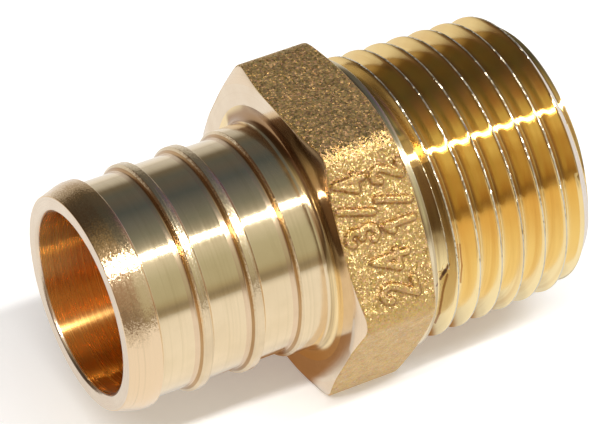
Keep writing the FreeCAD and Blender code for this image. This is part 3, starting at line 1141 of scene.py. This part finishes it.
# %% [markdown]
# ## A mark along a line
# Scratches and stains are short and thin, and they could be painted into an image, as could the
# painted shade and reflection laid the same way below. A formula needs no image and stays sharp: the
# distance from a straight line between two spots is small on the mark and large beside it. A bent mark
# is a chain of such lines.

# %% Mark along a line
MARK_CORE = 0.35


def on_part(along, degrees, out):
    """A spot given by length, angle round the axis and radius, in the finishes' own millimetres."""
    turn_angle = math.radians(degrees)
    return Vector((along - LENGTH / 2, out * math.cos(turn_angle), out * math.sin(turn_angle)))


def near_line(tree, start, end, width):
    """1 on the line between two spots, falling to 0 at the mark's width."""
    run = end - start
    ahead = run.normalized()
    from_start = add_node(tree, "ShaderNodeVectorMath", {0: part_millimetres(tree), 1: start},
                          operation="SUBTRACT")
    along_run = add_node(tree, "ShaderNodeVectorMath", {0: from_start.outputs["Vector"], 1: ahead},
                         operation="DOT_PRODUCT")
    held = add_node(tree, "ShaderNodeMapRange", {
        "From Max": run.length, "To Max": run.length, "Value": along_run.outputs["Value"],
    })
    nearest = add_node(tree, "ShaderNodeVectorMath", {0: ahead, "Scale": held.outputs["Result"]},
                       operation="SCALE")
    away = add_node(tree, "ShaderNodeVectorMath",
                    {0: from_start.outputs["Vector"], 1: nearest.outputs["Vector"]}, operation="DISTANCE")
    return fade(tree, away.outputs["Value"], width, width * MARK_CORE)


print("a mark is full within", MARK_CORE, "of its width")

# %% Lay a colour along a line
def tint_along(finish, marks):
    """Lay each mark's colour over a finish along the line through its spots."""
    tree = finish_materials[finish].node_tree
    skin_colour = tree.nodes["Principled BSDF"].inputs["Base Color"]
    for spots_along, width, colour in marks:
        for start, end in zip(spots_along[:-1], spots_along[1:]):
            mark = near_line(tree, on_part(*start), on_part(*end), width)
            under = skin_colour.links[0].from_socket
            feed(tree, mix_tones(tree, mark, under, colour), skin_colour)


print("helper for marks: tint_along")

# %% [markdown]
# ## Scratches where the cutter bit in
# The cutter tore the brass a little where it entered, and it left brown scratches over the neck and
# the first turn. Painted shade is laid with them, in the nick's hole and along the groove where it
# begins and in the next turn. They cross from one finish to the next, so the same marks are laid over
# all three finishes that meet there.

# %% Scratches
# Each mark: its spots as (length, angle round the axis, radius), its width and its colour
SCRATCHES_AND_GROOVE_SHADE = [
    ([(24.14, 174.3, 10.17), (23.94, 179.2, 9.80), (23.77, 184.2, 9.49)], 0.13, (0.30, 0.17, 0.11)),
    # The nick's darkest spot: a real hole, its dark colour a painted shade
    ([(23.99, 178.0, 9.89), (23.88, 180.6, 9.69)], 0.18, (0.14, 0.08, 0.06)),
    ([(22.90, 176.9, 10.75), (22.74, 177.8, 10.95), (22.62, 178.6, 10.98)], 0.11, (0.30, 0.19, 0.14)),
    # Painted shade along the groove where it begins
    ([(24.06, 180.0, 10.00), (23.96, 188.5, 9.75), (23.98, 196.7, 9.73), (24.11, 206.7, 9.85),
      (24.24, 217.2, 9.98)], 0.13, (0.48, 0.26, 0.10)),
    # Painted shade along the root of the next turn
    ([(25.50, 170.0, 9.40), (25.57, 181.2, 9.43), (25.61, 191.8, 9.39)], 0.11, (0.58, 0.33, 0.12)),
]

for finish in ("thread", "neck", "shoulder"):
    tint_along(finish, SCRATCHES_AND_GROOVE_SHADE)
print("scratches where the cutter bit in", len(SCRATCHES_AND_GROOVE_SHADE))

# %% [markdown]
# ## Brown beside the collar
# The face beside the collar looks brown in places, because it mirrors the collar and the shade round
# it. The mirror image comes by itself, and a painted reflection adds to it, laid on as three broad
# soft marks: one close to the collar on the camera's side, one on the upper corner, and one behind the
# collar.

# %% Painted reflection beside the collar
# Each mark is given in the same way as a scratch
PAINTED_COLLAR_REFLECTION = [
    ([(15.91, 137.0, 10.3), (15.91, 147.0, 9.9), (15.91, 155.0, 9.4)], 1.9, (0.26, 0.17, 0.07)),
    ([(15.85, 108.0, 11.3), (15.70, 120.0, 12.2), (15.85, 132.0, 11.3)], 1.3, (0.34, 0.22, 0.11)),
    ([(15.75, 38.0, 8.8), (15.75, 60.0, 8.8), (15.80, 82.0, 8.9), (15.80, 102.0, 9.1)], 1.0,
     (0.38, 0.22, 0.10)),
]

for finish in ("turned_face", "corner_cut", "fillet"):
    tint_along(finish, PAINTED_COLLAR_REFLECTION)
print("soft brown marks beside the collar", len(PAINTED_COLLAR_REFLECTION))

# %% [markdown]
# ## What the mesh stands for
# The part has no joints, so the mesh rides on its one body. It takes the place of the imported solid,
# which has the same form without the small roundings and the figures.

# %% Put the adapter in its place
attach(adapter, "root")
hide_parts(NODE)
print(adapter.name, "stands for", NODE)

# %% [markdown]
# ## Floor
# The part lies on its lowest flat, on a pale sheet. One large square is enough, since the camera sees
# only a small patch of it, but the brass mirrors much more of it than the picture shows.

# %% Floor
FLOOR_HALF = 3.0

floor_mesh = bpy.data.meshes.new("floor")
floor_corners = [(-FLOOR_HALF, -FLOOR_HALF, 0), (FLOOR_HALF, -FLOOR_HALF, 0),
                 (FLOOR_HALF, FLOOR_HALF, 0), (-FLOOR_HALF, FLOOR_HALF, 0)]
floor_mesh.from_pydata(floor_corners, [], [(0, 1, 2, 3)])
floor = bpy.data.objects.new("floor", floor_mesh)
bpy.context.scene.collection.objects.link(floor)
print("the floor is", 2 * FLOOR_HALF, "m wide")

# %% [markdown]
# ## Pale paper
# A camera sees white paper where the brass mirrors a calmer grey, because only part of the paper was
# lit. Two patches count most: the warm shade right under the part, where the light comes off the
# brass, and the dimmer paper in front on the left, where the soft light ends. Both are ellipses on the
# floor with soft edges. The Light Path node keeps them out of the camera's own view.

# %% Helpers for the paper
paper = bpy.data.materials.new("pale_paper")
paper.use_nodes = True
paper_tree = paper.node_tree
on_floor = add_node(paper_tree, "ShaderNodeTexCoord").outputs["Object"]


def inside_ellipse(middle, half, edge):
    """1 inside an ellipse on the floor and 0 outside, between two shares of its half size."""
    ellipse_space = add_node(paper_tree, "ShaderNodeMapping", {
        "Vector": on_floor,
        "Location": (middle[0] * MM, middle[1] * MM, 0),
        "Scale": (half[0] * MM, half[1] * MM, 1),
    }, vector_type="TEXTURE")
    from_middle = add_node(paper_tree, "ShaderNodeVectorMath", {0: ellipse_space.outputs["Vector"]},
                           operation="LENGTH")
    return fade(paper_tree, from_middle.outputs["Value"], *edge)


print("paper", paper.name, "has", len(paper_tree.nodes), "nodes so far")

# %% [markdown]
# ## Tones of the paper
# The paper has two parts. Its colour is lit by the lamp and so keeps the part's shadow, and a faint
# glow stands for the light that a real studio throws from all sides. For the brass both grow a little
# dimmer away from the part, as a pool of light does.

# %% Tones of the paper
# Middle, half size and soft edge of a patch, in millimetres and in shares of the half size
SHADE_PATCH = ((5.0, 3.5), (15.6, 9.1), (1.05, 0.93))
SHADE_BROWN = (0.25, 0.115, 0.04)
DIM_PATCH = ((-85.0, -105.0), (72.0, 75.0), (1.12, 0.62))
DIM_TONE = (0.24, 0.20, 0.13)
POOL_RADIUS = 0.45
SEEN_PAPER = (0.92, 0.92, 0.92)
SEEN_GLOW = (0.22, 0.22, 0.22)
MIRRORED_NEAR = (0.30, 0.30, 0.30)
MIRRORED_FAR = (0.22, 0.22, 0.22)
GLOW_NEAR = (0.60, 0.60, 0.60)
GLOW_FAR = (0.49, 0.48, 0.45)
PAPER_ROUGHNESS = 0.9

reach = add_node(paper_tree, "ShaderNodeVectorMath", {0: on_floor}, operation="LENGTH")
pool = add_node(paper_tree, "ShaderNodeMapRange", {
    "Value": reach.outputs["Value"], "From Min": 0.0, "From Max": POOL_RADIUS,
}, interpolation_type="SMOOTHERSTEP").outputs["Result"]
camera_sees = add_node(paper_tree, "ShaderNodeLightPath").outputs["Is Camera Ray"]
mirrored = mix_tones(paper_tree, pool, MIRRORED_NEAR, MIRRORED_FAR)
glow = mix_tones(paper_tree, pool, GLOW_NEAR, GLOW_FAR)
glow = mix_tones(paper_tree, inside_ellipse(*DIM_PATCH), glow, DIM_TONE)
glow = mix_tones(paper_tree, inside_ellipse(*SHADE_PATCH), glow, SHADE_BROWN)
paper_shader = paper_tree.nodes["Principled BSDF"]
feed(paper_tree, mix_tones(paper_tree, camera_sees, mirrored, SEEN_PAPER),
     paper_shader.inputs["Base Color"])
feed(paper_tree, mix_tones(paper_tree, camera_sees, glow, SEEN_GLOW),
     paper_shader.inputs["Emission Color"])
paper_shader.inputs["Emission Strength"].default_value = 1.0
paper_shader.inputs["Roughness"].default_value = PAPER_ROUGHNESS
paper_shader.inputs["Specular IOR Level"].default_value = 0.0
floor_mesh.materials.append(paper)
print("nodes of the paper", len(paper_tree.nodes))

# %% [markdown]
# ## Studio
# Polished metal has hardly any look of its own: it shows the room. Real softboxes and walls could stand
# round the part, but then each one has to be moved to try a tone. So the room is painted onto the world
# as a fan of tones round the part's long axis, from the horizon behind over the top to the camera's
# side. A spigot and a thread face different parts of the room, so there are three fans: for what lies
# towards the spigot's end, for what lies across, and for what lies towards the thread's end. From the
# camera the last one is met in the thread's flanks, and from behind the spigot mirrors it too.

# %% Tones of the room
# Each tone: angle round the axis from the horizon behind, and its colour
SPIGOT_SIDE_TONES = [
    (0, (0.20, 0.13, 0.09)), (11, (0.11, 0.07, 0.045)), (34, (0.06, 0.04, 0.027)),
    (62, (0.08, 0.06, 0.04)), (76, (0.17, 0.14, 0.09)), (86, (0.32, 0.27, 0.17)),
    (100, (0.48, 0.40, 0.26)), (114, (0.48, 0.38, 0.26)), (124, (0.38, 0.28, 0.20)),
    (150, (0.37, 0.26, 0.18)), (168, (0.22, 0.16, 0.11)), (180, (0.28, 0.22, 0.17)),
]
THREAD_SIDE_TONES = [
    (0, (0.66, 0.66, 0.66)), (11, (0.54, 0.54, 0.52)), (21, (0.16, 0.14, 0.11)),
    (34, (0.11, 0.12, 0.12)), (46, (0.115, 0.115, 0.115)), (62, (0.080, 0.10, 0.115)),
    (80, (0.15, 0.165, 0.17)), (95, (0.21, 0.23, 0.21)), (104, (0.32, 0.32, 0.28)),
    (126, (0.70, 0.69, 0.60)), (140, (0.54, 0.54, 0.42)), (163, (0.52, 0.51, 0.38)),
    (168, (0.46, 0.42, 0.29)), (173.5, (0.30, 0.26, 0.19)), (177.5, (0.37, 0.32, 0.22)),
    (180, (0.46, 0.42, 0.34)),
]
FLANK_TONES = [
    (0, (0.66, 0.66, 0.66)), (11, (0.40, 0.38, 0.36)), (21, (0.14, 0.12, 0.10)),
    (34, (0.115, 0.115, 0.12)), (56, (0.155, 0.115, 0.26)), (67, (0.19, 0.12, 0.28)),
    (79, (0.30, 0.25, 0.34)), (91, (0.47, 0.38, 0.44)), (103, (0.70, 0.80, 0.80)),
    (129, (0.80, 0.90, 0.95)), (142, (0.58, 0.55, 0.47)), (155.5, (0.58, 0.56, 0.48)),
    (168, (0.44, 0.35, 0.25)), (174, (0.28, 0.22, 0.17)), (180, (0.50, 0.48, 0.45)),
]
print("room tones", len(SPIGOT_SIDE_TONES), len(THREAD_SIDE_TONES), len(FLANK_TONES))

# %% [markdown]
# ## Fans round the axis
# The world's texture coordinate is the direction that a ray leaves in. The angle of its Y and Z round
# the part's axis picks a tone from a colour ramp, and its X says how far the ray leans towards either
# end of the part, which blends one fan into the next.

# %% Helpers for the room
HALF_TURN = 180.0
STOPS_AT_FIRST = 2

world = bpy.data.worlds.new("studio_room")
bpy.context.scene.world = world
world.use_nodes = True
room_tree = world.node_tree
room_tree.nodes.clear()
leaving = add_node(room_tree, "ShaderNodeTexCoord").outputs["Generated"]
ray = add_node(room_tree, "ShaderNodeSeparateXYZ", {"Vector": leaving})
turn_round = add_node(room_tree, "ShaderNodeMath", {0: ray.outputs["Z"], 1: ray.outputs["Y"]},
                      operation="ARCTAN2")
half_turn_share = add_node(room_tree, "ShaderNodeMapRange", {
    "From Max": math.pi, "Value": turn_round.outputs["Value"],
}).outputs["Result"]


def tone_fan(room_tones):
    """Colour ramp that follows the angle round the part's axis."""
    ramp = add_node(room_tree, "ShaderNodeValToRGB", {"Fac": half_turn_share})
    stops = ramp.color_ramp.elements
    for number, (degrees, colour) in enumerate(room_tones):
        stop = stops[number] if number < STOPS_AT_FIRST else stops.new(degrees / HALF_TURN)
        stop.position = degrees / HALF_TURN
        stop.color = (*colour, 1)
    return ramp.outputs["Color"]


def towards(start, end):
    """0 to 1 as a ray leans along the part from start to end."""
    return fade(room_tree, ray.outputs["X"], start, end)


print("the fans turn", HALF_TURN, "degrees, over the top")

# %% [markdown]
# ## Walls and ends of the room
# The three fans are joined along the part, and each end of the room gets one plain tone: a dark wall
# that the spigot's mouth looks at, and a pale one past the thread. The camera itself sees pure white
# behind the part, again through the Light Path node.

# %% Join the fans
SPIGOT_FAN_TO = -0.42
THREAD_FAN_FROM = 0.12
THREAD_FAN_TO = 0.40
FLANK_FAN_FROM = 0.50
END_TONE_FROM = 0.72
END_TONE_FULL = 0.93
SPIGOT_END_TONE = (0.13, 0.075, 0.055)
THREAD_END_TONE = (0.80, 0.80, 0.80)
WHITE = (1, 1, 1)

tone = mix_tones(room_tree, towards(SPIGOT_FAN_TO, THREAD_FAN_FROM),
                 tone_fan(SPIGOT_SIDE_TONES), tone_fan(THREAD_SIDE_TONES))
tone = mix_tones(room_tree, towards(THREAD_FAN_TO, FLANK_FAN_FROM), tone, tone_fan(FLANK_TONES))
for side, end_tone in ((-1, SPIGOT_END_TONE), (1, THREAD_END_TONE)):
    tone = mix_tones(room_tree, towards(side * END_TONE_FROM, side * END_TONE_FULL), tone, end_tone)
room = add_node(room_tree, "ShaderNodeBackground", {"Color": tone})
white = add_node(room_tree, "ShaderNodeBackground", {"Color": WHITE})
camera_sees = add_node(room_tree, "ShaderNodeLightPath").outputs["Is Camera Ray"]
both = add_node(room_tree, "ShaderNodeMixShader", {
    "Fac": camera_sees, 1: room.outputs["Background"], 2: white.outputs["Background"],
})
add_node(room_tree, "ShaderNodeOutputWorld", {"Surface": both.outputs["Shader"]})
print("nodes of the room", len(room_tree.nodes))

# %% [markdown]
# ## Long lamp
# The bright streak along the part, broken at every rib and crest, is the mirror image of a long narrow
# lamp. A softbox above the camera, long and parallel to the part, gives it. A narrow lamp keeps the
# streak narrow, and its distance keeps it straight.

# %% Long lamp
LAMP_ANGLE = math.radians(115.5)
LAMP_ALONG = 0.1
LAMP_DISTANCE = 0.9
LAMP_LENGTH = 2.0
LAMP_WIDTH = 0.05
LAMP_POWER = 12.5

lamp = bpy.data.objects.new("long_lamp", bpy.data.lights.new("long_lamp", "AREA"))
lamp.data.shape = "RECTANGLE"
lamp.data.size = LAMP_LENGTH
lamp.data.size_y = LAMP_WIDTH
lamp.data.energy = LAMP_POWER
lamp_from_axis = Vector((0, math.cos(LAMP_ANGLE), math.sin(LAMP_ANGLE))) * LAMP_DISTANCE
lamp.location = Vector((LAMP_ALONG, 0, 0)) + lamp_from_axis + axis_point
lamp.rotation_euler = (LAMP_ANGLE - math.pi / 2, 0, 0)
bpy.context.scene.collection.objects.link(lamp)
print("lamp at", [round(value, 2) for value in lamp.location])

# %% [markdown]
# ## Sizes
# A model that is dressed up can easily grow past the part that it stands for. The box of the packed
# part is kept from the start, and here the scene is brought up to date.

# %% Bring the scene up to date
bpy.context.view_layer.update()
